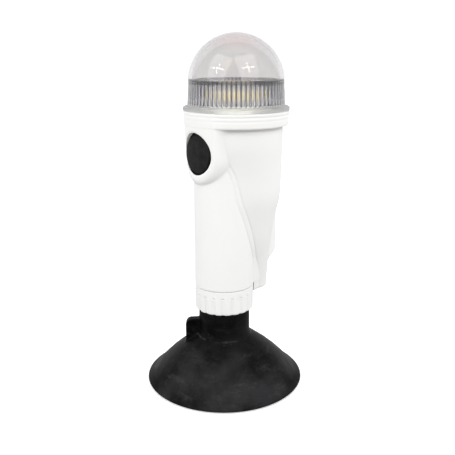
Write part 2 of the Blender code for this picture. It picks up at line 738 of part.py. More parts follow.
def make_contact_plate():
    plate_bottom = CARRIER_TOP + 1.9
    plate_top = plate_bottom + 1.0
    disc("contact_plate", 16.4, plate_bottom, plate_top, "board_white", steps=36)
    return plate_top + GAP


def make_wires(plate_top):
    """Three leads between the contact plate, the switch and the lamp's board."""
    lead = 0.65
    straight = 2.4
    board = BOARD_BOTTOM - GAP - 0.05
    terminal = PLATE_BACK + 2 * GAP + SWITCH_DEPTH + 3.6 + GAP
    side = BUTTON_HEIGHT
    feed = [(4.0, 10.0, plate_top), (4.0, 10.0, plate_top + straight),
            (4.4, 12.6, plate_top + 6), (4.4, 14.0, side - 4),
            (4.0, terminal + straight, side), (4.0, terminal, side)]
    switched = [(-4.0, terminal, side), (-4.0, terminal + straight, side),
                (-4.6, 14.6, side + 4), (-5.0, 14.6, side + 11),
                (-4.0, 13.0, board - straight), (-4.0, 13.0, board)]
    common = [(-3.5, 10.0, plate_top), (-3.5, 10.0, plate_top + straight),
              (-8.0, 17.0, side - 6), (-6.0, 19.5, side + 6),
              (3.0, 17.0, board - straight), (3.0, 17.0, board)]
    tube("wire_battery_to_switch", smooth_route(feed, 4), lead, "wire_red", corners=1)
    tube("wire_switch_to_board", smooth_route(switched, 4), lead, "wire_white", corners=1)
    tube("wire_battery_to_board", smooth_route(common, 4), lead, "wire_black", corners=1)


def main():
    make_suction_cup()
    make_stud()
    make_end_cap()
    make_cap_spring()
    make_housing()
    make_button()
    make_switch()
    make_lens()
    make_light_source()
    make_carrier()
    make_batteries()
    plate_top = make_contact_plate()
    make_wires(plate_top)


clear_scene()
PARTS = new_collection("navigation_light")
CUTTERS = new_collection("cutters")
main()
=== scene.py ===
import json
import math

import bmesh
import bpy
import numpy as np
from mathutils import Matrix, Vector


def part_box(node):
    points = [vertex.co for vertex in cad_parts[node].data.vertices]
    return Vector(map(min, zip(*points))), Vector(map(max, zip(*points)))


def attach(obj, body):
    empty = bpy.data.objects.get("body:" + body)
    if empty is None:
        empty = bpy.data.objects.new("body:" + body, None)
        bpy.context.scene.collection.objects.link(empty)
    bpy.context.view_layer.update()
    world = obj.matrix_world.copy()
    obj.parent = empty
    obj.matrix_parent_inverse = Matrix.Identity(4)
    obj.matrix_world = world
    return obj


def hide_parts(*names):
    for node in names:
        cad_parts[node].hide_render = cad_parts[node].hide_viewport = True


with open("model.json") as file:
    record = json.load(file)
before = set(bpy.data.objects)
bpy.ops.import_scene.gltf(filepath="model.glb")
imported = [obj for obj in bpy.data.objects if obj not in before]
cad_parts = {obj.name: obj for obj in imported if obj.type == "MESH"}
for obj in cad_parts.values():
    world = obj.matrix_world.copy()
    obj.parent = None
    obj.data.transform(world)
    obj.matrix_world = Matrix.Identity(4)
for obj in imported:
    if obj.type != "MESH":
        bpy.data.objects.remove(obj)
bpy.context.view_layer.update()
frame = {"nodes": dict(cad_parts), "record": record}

# Looks of the portable navigation light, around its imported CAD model.
#
# Shapes are worked out in millimetres in the CAD frame: Z up from the suction cup's rim, the button
# towards -Y and the housing's fin towards +Y. MM turns them into metres when an object is made.

MM = 0.001
TURN = 2 * math.pi


def low_mm(node):
    """The CAD node's lowest x, y and z in millimetres."""
    return [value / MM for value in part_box(node)[0]]


def high_mm(node):
    """The CAD node's highest x, y and z in millimetres."""
    return [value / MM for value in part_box(node)[1]]


# Driving sizes, read from the CAD boxes
CAP_BOTTOM = low_mm("end_cap")[2]
SPIGOT_TOP = high_mm("end_cap")[2]
CAP_RADIUS = high_mm("end_cap")[0]
CUP_RADIUS = high_mm("suction_cup")[0]
NECK_TOP = high_mm("suction_cup")[2]
TOE_BOTTOM = low_mm("housing")[2]
COLLAR_TOP = high_mm("housing")[2]
COLLAR_RADIUS = high_mm("housing")[0]
HEAD_Y = (low_mm("lens")[1] + high_mm("lens")[1]) / 2
SPIGOT_FOOT = low_mm("lens")[2]
LENS_TOP = high_mm("lens")[2]
BUTTON_HEIGHT = (low_mm("button_cap")[2] + high_mm("button_cap")[2]) / 2
BUTTON_FRONT = -low_mm("button_cap")[1]
BUTTON_BACK = -high_mm("button_cap")[1]
BUTTON_RADIUS = high_mm("button_cap")[0]

# Housing
TUBE_RADIUS = CAP_RADIUS
TUBE_BORE = 17.0
TUBE_BOTTOM = 66.0
PIVOT_Y = 16.5
WALL = 2.6
BELOW_ALL = 55.0
CAVITY_FLOOR = 78.0
CAVITY_ROOF = 164.5
LENS_SOCKET_FLOOR = 170.5
COLLAR_BOTTOM = 168.2
FIN_BACK = high_mm("housing")[1]
FIN_HALF_THICKNESS = 2.0
FIN_FOOT = 81.5
FIN_SHOULDER = 126.0
BOSS_RADIUS = 17.7
BOSS_CENTRE = 151.0
BOSS_FOOT = BOSS_CENTRE - BOSS_RADIUS
RECESS_RADIUS = 12.9
RECESS_FLOOR = 11.4
# Height, centre and radius of the wedge, from the toe up to the collar
WEDGE = np.array([
    (59.0, 24.2, 9.6), (66.0, 23.2, 10.3), (73.5, 21.9, 11.8), (80.5, 20.2, 13.5),
    (88.5, 17.8, 16.2), (96.5, 15.5, 18.8), (105.5, 14.4, 20.8), (111.0, 14.1, 22.1),
    (116.0, 14.1, 23.4), (121.0, 14.0, 24.8), (128.0, 13.8, 25.6), (137.0, 13.1, 26.2),
    (147.0, 11.9, 27.3), (157.0, 10.4, 28.8), (172.0, HEAD_Y, 29.2), (180.0, HEAD_Y, 29.2),
])

# Lens
DOME_RADIUS = 29.6
DOME_CENTRE = LENS_TOP - DOME_RADIUS
FLANGE_TOP = 180.2
RIB_TOP = 193.4
INNER_LEDGE_TOP = 195.8
RIBS = 66


# ---------------------------------------------------------------- meshes

def new_object(name, points, faces, smooth_angle=40.0):
    """A mesh object from points in millimetres; edges sharper than the angle stay crisp."""
    mesh = bpy.data.meshes.new(name)
    mesh.from_pydata([Vector(point) * MM for point in points], [], faces)
    item = bpy.data.objects.new(name, mesh)
    bpy.context.scene.collection.objects.link(item)
    shade(item, smooth_angle)
    return item


def shade(item, smooth_angle=40.0):
    """Smooth shading, with edges sharper than the angle kept crisp."""
    item.data.shade_smooth()
    item.data.set_sharp_from_angle(angle=math.radians(smooth_angle))


def skin(name, rings, closed=False, smooth_angle=40.0):
    """Skin a stack of equal rings of points; both ends are capped, or the last joins the first."""
    rings = np.asarray(rings)
    levels, count = rings.shape[:2]
    faces = []
    for level in range(levels if closed else levels - 1):
        low = level * count
        high = ((level + 1) % levels) * count
        for index in range(count):
            after = (index + 1) % count
            faces.append((low + index, low + after, high + after, high + index))
    if not closed:
        faces.append(tuple(range(count))[::-1])
        faces.append(tuple(range((levels - 1) * count, levels * count)))
    return new_object(name, rings.reshape(-1, 3), faces, smooth_angle)


def ring(radius, height, angles):
    """Points round the vertical axis; radius is one number or one for each angle."""
    reach = np.broadcast_to(radius, angles.shape)
    flat = np.broadcast_to(float(height), angles.shape)
    return np.stack([reach * np.cos(angles), reach * np.sin(angles), flat], axis=1)


def turned(name, outline, steps=96, place=(0, 0, 0), facing_front=False):
    """A solid of revolution from (radius, height) pairs that run up its outer side.

    It stands upright, or lies with its upper end towards the front.
    """
    angles = np.arange(steps) * TURN / steps
    tip = 0.01
    item = skin(name, [ring(max(radius, tip), height, angles) for radius, height in outline])
    tilt = Matrix.Rotation(math.pi / 2 if facing_front else 0.0, 4, "X")
    item.data.transform(Matrix.Translation(Vector(place) * MM) @ tilt)
    return item


def arc(centre, radius, start, stop, steps):
    """(x, y) pairs round a circle, angles in degrees."""
    angles = np.radians(np.linspace(start, stop, steps))
    return [(centre[0] + radius * math.cos(a), centre[1] + radius * math.sin(a)) for a in angles]


def boolean(item, other, operation):
    """Add or cut with another closed object; the MANIFOLD solver leaves no open edges."""
    step = item.modifiers.new(other.name, "BOOLEAN")
    step.operation = operation
    step.solver = "MANIFOLD"
    step.object = other


def apply_modifiers(item, *tools):
    """Turn the evaluated mesh into the object's own and drop the tools that cut it."""
    bpy.context.view_layer.update()
    graph = bpy.context.evaluated_depsgraph_get()
    made = bpy.data.meshes.new_from_object(item.evaluated_get(graph))
    item.modifiers.clear()
    item.data = made
    for tool in tools:
        bpy.data.objects.remove(tool, do_unlink=True)


# ---------------------------------------------------------------- distance fields, in millimetres

def soft_min(a, b, width):
    """The smaller of two distances, with a fillet of about the given width between them."""
    blend = np.maximum(width - np.abs(a - b), 0.0)
    return np.minimum(a, b) - blend ** 2 / (4 * width)


def soft_max(a, b, width):
    """The larger of two distances, with its edge eased over about the given width."""
    return -soft_min(-a, -b, width)


def rounded_corner(a, b, radius):
    """Distance to the solid where a < 0 and b < 0, with the edge between its two faces rounded."""
    outside = np.hypot(np.maximum(a + radius, 0.0), np.maximum(b + radius, 0.0))
    return outside - radius + np.minimum(np.maximum(a + radius, b + radius), 0.0)


def fade(value, start, stop):
    """0 up to start, then evenly to 1 at stop; stop may be the lower of the two."""
    return np.clip((value - start) / (stop - start), 0.0, 1.0)


def round_over(height, start, stop, radius):
    """How far a quarter-round edge has drawn in on its way from start to stop."""
    return radius * (1.0 - np.sqrt(1.0 - fade(height, start, stop) ** 2))


def wedge_at(z):
    """Centre and radius of the wedge, with the bends between its stations smoothed."""
    smoothing = 4.5
    spread = np.linspace(-smoothing, smoothing, 9)
    centre = np.mean([np.interp(z + step, WEDGE[:, 0], WEDGE[:, 1]) for step in spread], axis=0)
    radius = np.mean([np.interp(z + step, WEDGE[:, 0], WEDGE[:, 2]) for step in spread], axis=0)
    return centre, radius


def body_distance(x, y, z):
    """Battery tube and wedge, with a narrow flat band along the crease where they meet."""
    centre, radius = wedge_at(z)
    toe_edge = 2.4
    tube_edge = 0.5
    toe = round_over(z, TOE_BOTTOM + toe_edge, TOE_BOTTOM, toe_edge)
    tube_end = round_over(z, TUBE_BOTTOM + tube_edge, TUBE_BOTTOM, tube_edge)
    tube = np.hypot(x, y) - TUBE_RADIUS + tube_end
    wedge = np.hypot(x, y - centre) - radius + toe
    depth_above = 1.7 - 1.5 * fade(z, 80.0, 159.0)
    depth_at_toe = 3.2 * fade(z, 84.0, 68.0)
    band = (tube + wedge - depth_above - depth_at_toe) * math.sqrt(0.5)
    sides = np.minimum(tube, wedge)
    edge_line = 0.42 * np.exp(-((band - sides) / 0.2) ** 2)
    shown = fade(z, 158.0, 144.0) * fade(z, 74.0, 84.0)
    return soft_min(sides, band, 0.4) + edge_line * shown


def fin_distance(x, y, z):
    """Upright fin down the middle of the back, chamfered below and above."""
    back = y - FIN_BACK
    low_end = back * 0.72 - (z - FIN_FOOT) * 0.69
    high_end = back * 0.92 + (z - FIN_SHOULDER) * 0.39
    edge = soft_max(soft_max(back, low_end, 1.5), high_end, 3.0)
    fin = soft_max(np.abs(x) - FIN_HALF_THICKNESS, edge, 1.2)
    inner_end = 25.0
    return np.maximum(fin, inner_end - y)


def collar_radius(z):
    """The collar draws in a little downwards, with a rounded lip and two faint grooves."""
    taper = 0.06
    lip = 0.8
    grooves = ((174.9, 0.28, 0.45), (172.6, 0.14, 0.5))
    radius = COLLAR_RADIUS - taper * (COLLAR_TOP - z)
    radius = radius - round_over(z, COLLAR_TOP - lip, COLLAR_TOP, lip)
    for height, depth, width in grooves:
        radius = radius - depth * np.exp(-((z - height) / width) ** 2)
    return radius


def boss_reach(z):
    """How far the boss's face stands from the head's axis; it carries on the collar's curve."""
    at_foot, gain = 31.2, 1.5
    return at_foot + gain * (z - BOSS_FOOT) / (COLLAR_BOTTOM - BOSS_FOOT)


def boss_distance(x, y, z):
    """Boss around the button, round at its foot and straight-sided above."""
    sideways = np.where(z < BOSS_CENTRE, np.hypot(x, z - BOSS_CENTRE), np.abs(x))
    front = np.hypot(x, y - HEAD_Y) - boss_reach(z)
    boss = rounded_corner(sideways - BOSS_RADIUS, front, 3.5)
    from_axis = np.hypot(x, z - BUTTON_HEIGHT)
    lip_width, lip_depth = 1.1, 0.45
    lip = lip_depth * fade(from_axis, RECESS_RADIUS + lip_width, RECESS_RADIUS) ** 2
    nowhere = 50.0
    return np.where(y < 0, boss + lip, nowhere)


def housing_distance(x, y, z):
    """The whole outside: body and fin, boss, and the collar with a groove right under it."""
    body = soft_min(body_distance(x, y, z), fin_distance(x, y, z), 1.6)
    groove_depth, groove_height = 1.1, COLLAR_BOTTOM - 0.7
    body = body + groove_depth * np.exp(-((z - groove_height) / 0.8) ** 2)
    fillet = 0.5 + 2.0 * fade(z, 158.0, 167.0)
    head = soft_min(body, boss_distance(x, y, z), fillet)
    across = np.hypot(x, y - HEAD_Y) - collar_radius(z)
    collar = rounded_corner(across, COLLAR_BOTTOM - z, 1.1)
    return soft_min(head, collar, 0.7)


def outermost(distance, angles, heights, start):
    """Walk in from outside along level rays to a vertical pivot, until each meets the surface.

    Each step is shorter than the field says, because the field is only roughly a true distance.
    """
    steps, stride = 90, 0.75
    angle, z = np.meshgrid(angles, heights)
    reach = np.full(angle.shape, start)
    for _ in range(steps):
        x = reach * np.cos(angle)
        y = PIVOT_Y + reach * np.sin(angle)
        reach = reach - stride * distance(x, y, z)
    return np.stack([reach * np.cos(angle), PIVOT_Y + reach * np.sin(angle), z], axis=2)


def make_cavity():
    """The solid that hollows the housing: battery and wedge space, passage and socket for the
    lens, less the sleeve that the switch sits in."""
    count = 96
    passage_radius, socket_radius, sleeve_radius = 23.5, 27.5, 15.3
    inner = outermost(lambda x, y, z: body_distance(x, y, z) + WALL,
                      np.arange(count) * TURN / count,
                      np.linspace(CAVITY_FLOOR, CAVITY_ROOF, 34), 40.0)
    cavity = skin("cavity", inner)
    head = (0, HEAD_Y, 0)
    bore = turned("bore", [(TUBE_BORE, BELOW_ALL), (TUBE_BORE, 150.0)])
    passage = turned("passage", [(passage_radius, CAVITY_ROOF - 1.5),
                                 (passage_radius, LENS_SOCKET_FLOOR + 1.0)], place=head)
    socket = turned("socket", [(socket_radius, LENS_SOCKET_FLOOR),
                               (socket_radius, COLLAR_TOP + 1.0)], place=head)
    sleeve = turned("sleeve", [(sleeve_radius, 8.6), (sleeve_radius, 24.0)], 96,
                    (0, 0, BUTTON_HEIGHT), facing_front=True)
    for tool in (bore, passage, socket):
        boolean(cavity, tool, "UNION")
    boolean(cavity, sleeve, "DIFFERENCE")
    apply_modifiers(cavity, bore, passage, socket, sleeve)
    return cavity


def make_housing():
    """White moulding: battery tube, wedge, fin, collar and button boss, hollow inside."""
    count = 440
    heights = np.concatenate([
        np.linspace(TOE_BOTTOM, TOE_BOTTOM + 2.4, 9), np.arange(61.9, TUBE_BOTTOM, 0.5),
        np.linspace(TUBE_BOTTOM, 66.5, 4), np.arange(67.0, 166.5, 0.65),
        np.arange(166.8, 169.9, 0.2), np.arange(170.0, 176.1, 0.3),
        np.linspace(176.2, COLLAR_TOP, 7)])
    rings = outermost(housing_distance, np.arange(count) * TURN / count, heights, 50.0)
    housing = skin("housing_shell", rings)
    cavity = make_cavity()
    button_axis = (0, 0, BUTTON_HEIGHT)
    stem_room = 4.4
    cap_room = CAP_RADIUS + 0.5
    recess = turned("recess", [(RECESS_RADIUS, RECESS_FLOOR), (RECESS_RADIUS, 30.0)], 160,
                    button_axis, facing_front=True)
    stem_hole = turned("stem_hole", [(stem_room, 6.0), (stem_room, 14.0)], 48, button_axis,
                       facing_front=True)
    cap_space = turned("cap_space", [(cap_room, BELOW_ALL), (cap_room, TUBE_BOTTOM)])
    for tool in (cap_space, cavity, recess, stem_hole):
        boolean(housing, tool, "DIFFERENCE")
    apply_modifiers(housing, cap_space, cavity, recess, stem_hole)
    shade(housing, 35.0)
    return housing


# ---------------------------------------------------------------- suction cup

# Height and radius of the cup's outside, from its rim up to its neck
CUP_OUTLINE = np.array([
    (0.0, 49.4), (0.5, 50.5), (1.1, 51.2), (1.7, CUP_RADIUS), (2.3, 51.1), (2.9, 50.1),
    (4.9, 47.4), (10.1, 42.7), (15.6, 37.3),
    (21.2, 30.9), (26.6, 23.8), (29.6, 19.6), (31.4, 17.6), (33.4, 16.75), (36.0, 16.6),
    (50.0, 16.6),
])
LUG_DIRECTION = math.radians(232.5)
LUG_REACH = 25.6
LUG_TOP = 41.0
LUG_HALF_THICKNESS = 3.5


def cup_distance(x, y, z):
    """Flared skirt and neck, with the finger lug standing out of them."""
    outline = np.interp(z, CUP_OUTLINE[:, 0], CUP_OUTLINE[:, 1])
    cup = (np.hypot(x, y) - outline) * 0.7
    along = x * math.cos(LUG_DIRECTION) + y * math.sin(LUG_DIRECTION)
    across = y * math.cos(LUG_DIRECTION) - x * math.sin(LUG_DIRECTION)
    plate = rounded_corner(along - LUG_REACH, z - LUG_TOP, 4.0)
    dish = 0.55 * fade(np.hypot(along - 21.4, z - 36.8), 3.4, 0.0) ** 0.5
    nowhere = 50.0
    plate = np.where(along > 0, plate, nowhere)
    lug = soft_max(plate, np.abs(across) - (LUG_HALF_THICKNESS - dish), 1.0)
    return soft_min(cup, lug, 1.6)


def make_suction_cup():
    """Rubber cup: outer skin with the lug, dished underside, and the stud's room in the neck."""
    count = 300
    angles = np.arange(count) * TURN / count
    heights = np.concatenate([
        np.linspace(0.0, 1.5, 6), np.linspace(2.0, 28.0, 66), np.linspace(28.25, 42.0, 56),
        np.linspace(42.5, NECK_TOP - 0.6, 12), np.linspace(NECK_TOP - 0.45, NECK_TOP, 4)])
    steps, stride = 90, 0.7
    angle, z = np.meshgrid(angles, heights)
    reach = np.full(angle.shape, 60.0)
    for _ in range(steps):
        x = reach * np.cos(angle)
        y = reach * np.sin(angle)
        reach = reach - stride * cup_distance(x, y, z)
    neck_edge = 0.6
    reach = reach - round_over(z, NECK_TOP - neck_edge, NECK_TOP, neck_edge)
    outer = np.stack([reach * np.cos(angle), reach * np.sin(angle), z], axis=2)
    stud_room = [(3.3, NECK_TOP), (3.3, 39.8), (9.3, 39.8), (9.3, 36.2), (0.01, 36.2)]
    underside = [(0.01, 25.0), (10.0, 24.6), (20.0, 22.6), (28.0, 18.8), (34.6, 13.6),
                 (40.2, 8.2), (45.0, 3.0), (48.9, 0.0)]
    below = [ring(radius, height, angles) for radius, height in underside]
    above = [ring(radius, height, angles) for radius, height in stud_room]
    return skin("suction_cup_rubber", [*below, *outer, *above], smooth_angle=50.0)


# ---------------------------------------------------------------- end cap

def make_end_cap():
    """Screw cap: a smooth band, a dimple over each flute, and flutes that reach the lower edge."""
    flutes = 20
    points_per_flute = 30
    first_flute = 0.72
    flute_top, flute_depth, flute_half_width = 60.6, 0.62, 1.45
    dimple_height, dimple_depth = 61.2, 1.1
    band_top, top_edge, low_edge = 65.7, 0.35, 1.2
    angles = np.arange(flutes * points_per_flute) * TURN / (flutes * points_per_flute)
    heights = np.concatenate([
        np.linspace(CAP_BOTTOM, CAP_BOTTOM + low_edge, 6), np.linspace(51.6, 60.0, 16),
        np.linspace(60.2, 63.4, 17), np.linspace(63.8, 65.2, 4),
        np.linspace(band_top - top_edge, band_top, 4)])
    turn = (angles * flutes / TURN + first_flute) % 1.0 - 0.5
    across = turn * TURN * CAP_RADIUS / flutes
    groove = np.clip(1.0 - (across / flute_half_width) ** 2, 0.0, 1.0) ** 0.8
    rings = []
    for z in heights:
        radius = CAP_RADIUS - flute_depth * groove * fade(z, flute_top, flute_top - 7.0) ** 0.7
        away = np.hypot(across / 0.9, (z - dimple_height) / 0.72)
        radius = radius - dimple_depth * np.clip(1.0 - away ** 2, 0.0, 1.0) ** 0.5
        radius = radius - round_over(z, CAP_BOTTOM + low_edge, CAP_BOTTOM, low_edge)
        radius = radius - round_over(z, band_top - top_edge, band_top, top_edge)
        rings.append(ring(radius, z, angles))
    spigot, bore, stud_hole = 16.7, 13.5, 3.4
    outline = [(spigot, band_top), (spigot, 66.9), (15.3, 66.9), (15.3, 68.7), (spigot, 68.7),
               (spigot, SPIGOT_TOP - 0.4), (16.3, SPIGOT_TOP), (13.8, SPIGOT_TOP),
               (bore, SPIGOT_TOP - 0.3), (bore, 62.7), (12.5, 62.7), (12.5, 53.3),
               (stud_hole, 53.3), (stud_hole, CAP_BOTTOM)]
    rings += [ring(radius, height, angles) for radius, height in outline]
    return skin("end_cap_moulding", rings, closed=True, smooth_angle=32.0)


# ---------------------------------------------------------------- lens

def make_lens():
    """Clear cover: plain dome, and an upright band with ribs on its inside under a ledge."""
    points_per_rib = 10
    angles = np.arange(RIBS * points_per_rib) * TURN / (RIBS * points_per_rib)
    inner = DOME_RADIUS - 2.1
    ribbed = inner - 1.5
    foot = COLLAR_TOP + 0.3
    spigot, bore = 27.2, 24.4
    outside = [(spigot, foot), (32.9, foot), (COLLAR_RADIUS, foot + 0.2),
               (COLLAR_RADIUS, 178.9), (32.8, 179.4), (32.2, 179.8), (31.2, 180.0),
               (30.5, FLANGE_TOP), (30.26, FLANGE_TOP + 0.5)]
    band_foot_radius, band_foot, band_top = 30.26, 181.5, 192.0
    outside += [(band_foot_radius + (DOME_RADIUS - band_foot_radius) * part,
                 band_foot + (band_top - band_foot) * part) for part in np.linspace(0, 1, 6)]
    outside += arc((0, DOME_CENTRE), DOME_RADIUS, 0, 89.9, 40)
    inside = arc((0, DOME_CENTRE), inner, 89.9, 5.4, 34)
    inside += [(inner - 0.7, INNER_LEDGE_TOP), (inner - 1.3, INNER_LEDGE_TOP - 0.8),
               (ribbed, RIB_TOP + 0.6)]
    rings = [ring(max(radius, 0.02), height, angles) for radius, height in outside + inside]
    rib = ((angles * RIBS / TURN) % 1.0 * 2 - 1) ** 2
    for height in np.linspace(RIB_TOP, 181.2, 9):
        rings.append(ring(ribbed + 0.75 * rib, height, angles))
    rings.append(ring(ribbed + 0.35 * rib, FLANGE_TOP - 0.2, angles))
    below = [(25.6, 179.3), (bore, 178.7), (bore, SPIGOT_FOOT), (spigot, SPIGOT_FOOT),
             (spigot, 175.35), (25.9, 175.35), (25.9, 176.85), (spigot, 176.85)]
    rings += [ring(radius, height, angles) for radius, height in below]
    item = skin("lens_cover", rings, closed=True, smooth_angle=45.0)
    item.data.transform(Matrix.Translation((0, HEAD_Y * MM, 0)))
    return item


# ---------------------------------------------------------------- button

def make_button():
    """Rubber-faced push button: softly domed, with a rounded rim."""
    crown = 0.9
    rim = 0.8
    face = BUTTON_FRONT - crown
    outline = [(0.0, BUTTON_BACK), (BUTTON_RADIUS - 0.4, BUTTON_BACK),
               (BUTTON_RADIUS, BUTTON_BACK + 0.4), (BUTTON_RADIUS, face - rim)]
    outline += arc((BUTTON_RADIUS - rim, face - rim), rim, 0, 75, 7)
    start = outline[-1]
    for part in np.linspace(0.06, 1.0, 16):
        radius = start[0] * (1 - part)
        lift = (BUTTON_FRONT - start[1]) * (1 - (radius / start[0]) ** 2)
        outline.append((radius, start[1] + lift))
    forward = 0.3
    button = turned("button_face", outline, 120, (0, -forward, BUTTON_HEIGHT), facing_front=True)
    lean = 0.06
    for vertex in button.data.vertices:
        vertex.co.y += lean * (vertex.co.z - BUTTON_HEIGHT * MM)
    return button


def make_button_boot():
    """Thin rubber sleeve lining the well; its lip is just under the boss's face, deeper on top."""
    angles = np.arange(120) * TURN / 120
    inner, outer, edge = 12.76, 12.87, 0.036
    sunk = 0.8
    deeper_on_top = 2.6
    back = np.full(angles.shape, RECESS_FLOOR + 0.2)
    reach = boss_reach(BUTTON_HEIGHT + outer * np.sin(angles))
    face = np.sqrt(reach ** 2 - (outer * np.cos(angles)) ** 2) - HEAD_Y
    lip = face - sunk - deeper_on_top * np.maximum(np.sin(angles), 0.0)

    def loop(radius, front):
        """Points round the button's axis, as far towards the front as front says."""
        up = BUTTON_HEIGHT + radius * np.sin(angles)
        return np.stack([radius * np.cos(angles), -front, up], axis=1)

    rings = [loop(inner, back), loop(outer, back), loop(outer, lip - edge),
             loop(outer - edge, lip), loop(inner + edge, lip), loop(inner, lip - edge)]
    return skin("button_boot", rings, closed=True)


# ---------------------------------------------------------------- materials

class Shader:
    """A small helper that adds nodes to one material, in the order that they are needed."""

    def __init__(self, name):
        self.material = bpy.data.materials.new(name)
        self.material.use_nodes = True
        self.tree = self.material.node_tree
        self.surface = self.tree.nodes["Principled BSDF"]
        self.place = self.tree.nodes.new("ShaderNodeTexCoord").outputs["Object"]

    def link(self, source, target):
        self.tree.links.new(source, target)

    def set(self, **values):
        for key, value in values.items():
            self.surface.inputs[key.replace("_", " ")].default_value = value

    def axes(self):
        """The object coordinates, with one output for each axis."""
        node = self.tree.nodes.new("ShaderNodeSeparateXYZ")
        self.link(self.place, node.inputs["Vector"])
        return node.outputs

    def height(self, low, high):
        """0 at the low height to 1 at the high one, both in millimetres."""
        result = self.spread(self.axes()["Z"], 0.0, 1.0)
        result.node.inputs["From Min"].default_value = low * MM
        result.node.inputs["From Max"].default_value = high * MM
        return result

    def stretched(self, scale):
        """Object coordinates with a different scale along each axis."""
        node = self.tree.nodes.new("ShaderNodeMapping")
        node.inputs["Scale"].default_value = scale
        self.link(self.place, node.inputs["Vector"])
        return node.outputs["Vector"]

    def distance(self, centre):
        """Distance from a point in millimetres; None leaves that axis out."""
        node = self.tree.nodes.new("ShaderNodeMapping")
        node.inputs["Scale"].default_value = [0.0 if part is None else 1.0 for part in centre]
        node.inputs["Location"].default_value = [-(part or 0.0) * MM for part in centre]
        self.link(self.place, node.inputs["Vector"])
        length = self.tree.nodes.new("ShaderNodeVectorMath")
        length.operation = "LENGTH"
        self.link(node.outputs["Vector"], length.inputs[0])
        return length.outputs["Value"]

    def noise(self, scale, detail=3.0, roughness=0.5, place=None):
        """Noise from 0 to 1, around 0.5, in object space."""
        node = self.tree.nodes.new("ShaderNodeTexNoise")
        node.inputs["Scale"].default_value = scale
        node.inputs["Detail"].default_value = detail
        node.inputs["Roughness"].default_value = roughness
        self.link(place or self.place, node.inputs["Vector"])
        return node.outputs["Fac"]

    def ramp(self, factor, *stops):
        """Each stop is (position, grey level or colour)."""
        node = self.tree.nodes.new("ShaderNodeValToRGB")
        points = node.color_ramp.elements
        while len(points) < len(stops):
            points.new(0.5)
        for point, (position, colour) in zip(points, stops):
            point.position = position
            point.color = (*colour, 1.0) if isinstance(colour, tuple) else (colour,) * 3 + (1.0,)
        self.link(factor, node.inputs["Fac"])
        return node.outputs["Color"]

    def spread(self, factor, low, high):
        """The factor's 0 to 1 turned into low to high."""
        node = self.tree.nodes.new("ShaderNodeMapRange")
        node.inputs["To Min"].default_value = low
        node.inputs["To Max"].default_value = high
        self.link(factor, node.inputs["Value"])
        return node.outputs["Result"]

    def mix(self, factor, first, second, kind="MIX"):
        node = self.tree.nodes.new("ShaderNodeMix")
        node.data_type = "RGBA"
        node.blend_type = kind
        for socket, value in ((node.inputs[0], factor), (node.inputs[6], first),
                              (node.inputs[7], second)):
            if isinstance(value, bpy.types.NodeSocket):
                self.link(value, socket)
            elif isinstance(value, tuple):
                socket.default_value = (*value, 1.0)
            else:
                socket.default_value = value
        return node.outputs[2]

    def wave_around(self, centre_y, count):
        """0 to 1 and back, count times round the upright axis at x = 0 and y = centre_y."""
        def math_node(operation, first, second=None):
            node = self.tree.nodes.new("ShaderNodeMath")
            node.operation = operation
            for socket, value in zip(node.inputs, (first, second)):
                if isinstance(value, bpy.types.NodeSocket):
                    self.link(value, socket)
                elif value is not None:
                    socket.default_value = value
            return node.outputs[0]

        axes = self.axes()
        offset = math_node("SUBTRACT", axes["Y"], centre_y * MM)
        turn = math_node("ARCTAN2", offset, axes["X"])
        wave = math_node("COSINE", math_node("MULTIPLY", turn, float(count)))
        return math_node("MULTIPLY_ADD", wave, 0.5)

    def bump(self, height, strength, distance):
        """Surface relief; distance is in metres."""
        node = self.tree.nodes.new("ShaderNodeBump")
        node.inputs["Strength"].default_value = strength
        node.inputs["Distance"].default_value = distance
        self.link(height, node.inputs["Height"])
        self.link(node.outputs["Normal"], self.surface.inputs["Normal"])

    def finish(self, colour=None, roughness=None):
        """Join colour and roughness to the surface and hand over the material."""
        if colour is not None:
            self.link(colour, self.surface.inputs["Base Color"])
        if roughness is not None:
            self.link(roughness, self.surface.inputs["Roughness"])
        return self.material


def moulded_plastic(name, colour, roughness, grain=2600.0):
    """Moulded plastic: slight mottling, uneven gloss and a fine mould grain."""
    shader = Shader(name)
    cloud = shader.noise(38.0, 4.0)
    darker = tuple(value * 0.965 for value in colour)
    tint = shader.ramp(cloud, (0.3, darker), (0.7, colour))
    gloss = shader.spread(shader.noise(160.0, 5.0, 0.6), roughness * 0.8, roughness * 1.25)
    shader.bump(shader.noise(grain, 2.0), 0.12, 0.00004)
    shader.set(IOR=1.5)
    return shader.finish(tint, gloss)


def painted_corner_shade(shader):
    """Painted shade in two corners: under the collar beside the boss, and under the boss's foot."""
    axes = shader.axes()
    off_boss = shader.ramp(shader.distance((0, HEAD_Y, None)), (29.8 * MM, 1.0), (31.2 * MM, 0.0))
    high = shader.ramp(axes["Z"], ((COLLAR_BOTTOM - 2.7) * MM, 0.0),
                       ((COLLAR_BOTTOM - 0.9) * MM, 0.8))
    under_collar = shader.mix(1.0, off_boss, high, "MULTIPLY")
    round_boss = shader.ramp(shader.distance((0, None, BOSS_CENTRE)), (BOSS_RADIUS * MM, 0.0),
                             ((BOSS_RADIUS + 0.2) * MM, 1.0), ((BOSS_RADIUS + 1.4) * MM, 0.0))
    below = shader.ramp(axes["Z"], ((BOSS_CENTRE - 9.0) * MM, 1.0), (BOSS_CENTRE * MM, 0.0))
    in_front = shader.ramp(axes["Y"], (0.0, 1.0), (1.0 * MM, 0.0))
    under_boss = shader.mix(1.0, round_boss, below, "MULTIPLY")
    under_boss = shader.mix(1.0, under_boss, in_front, "MULTIPLY")
    return shader.mix(1.0, under_collar, under_boss, "ADD")


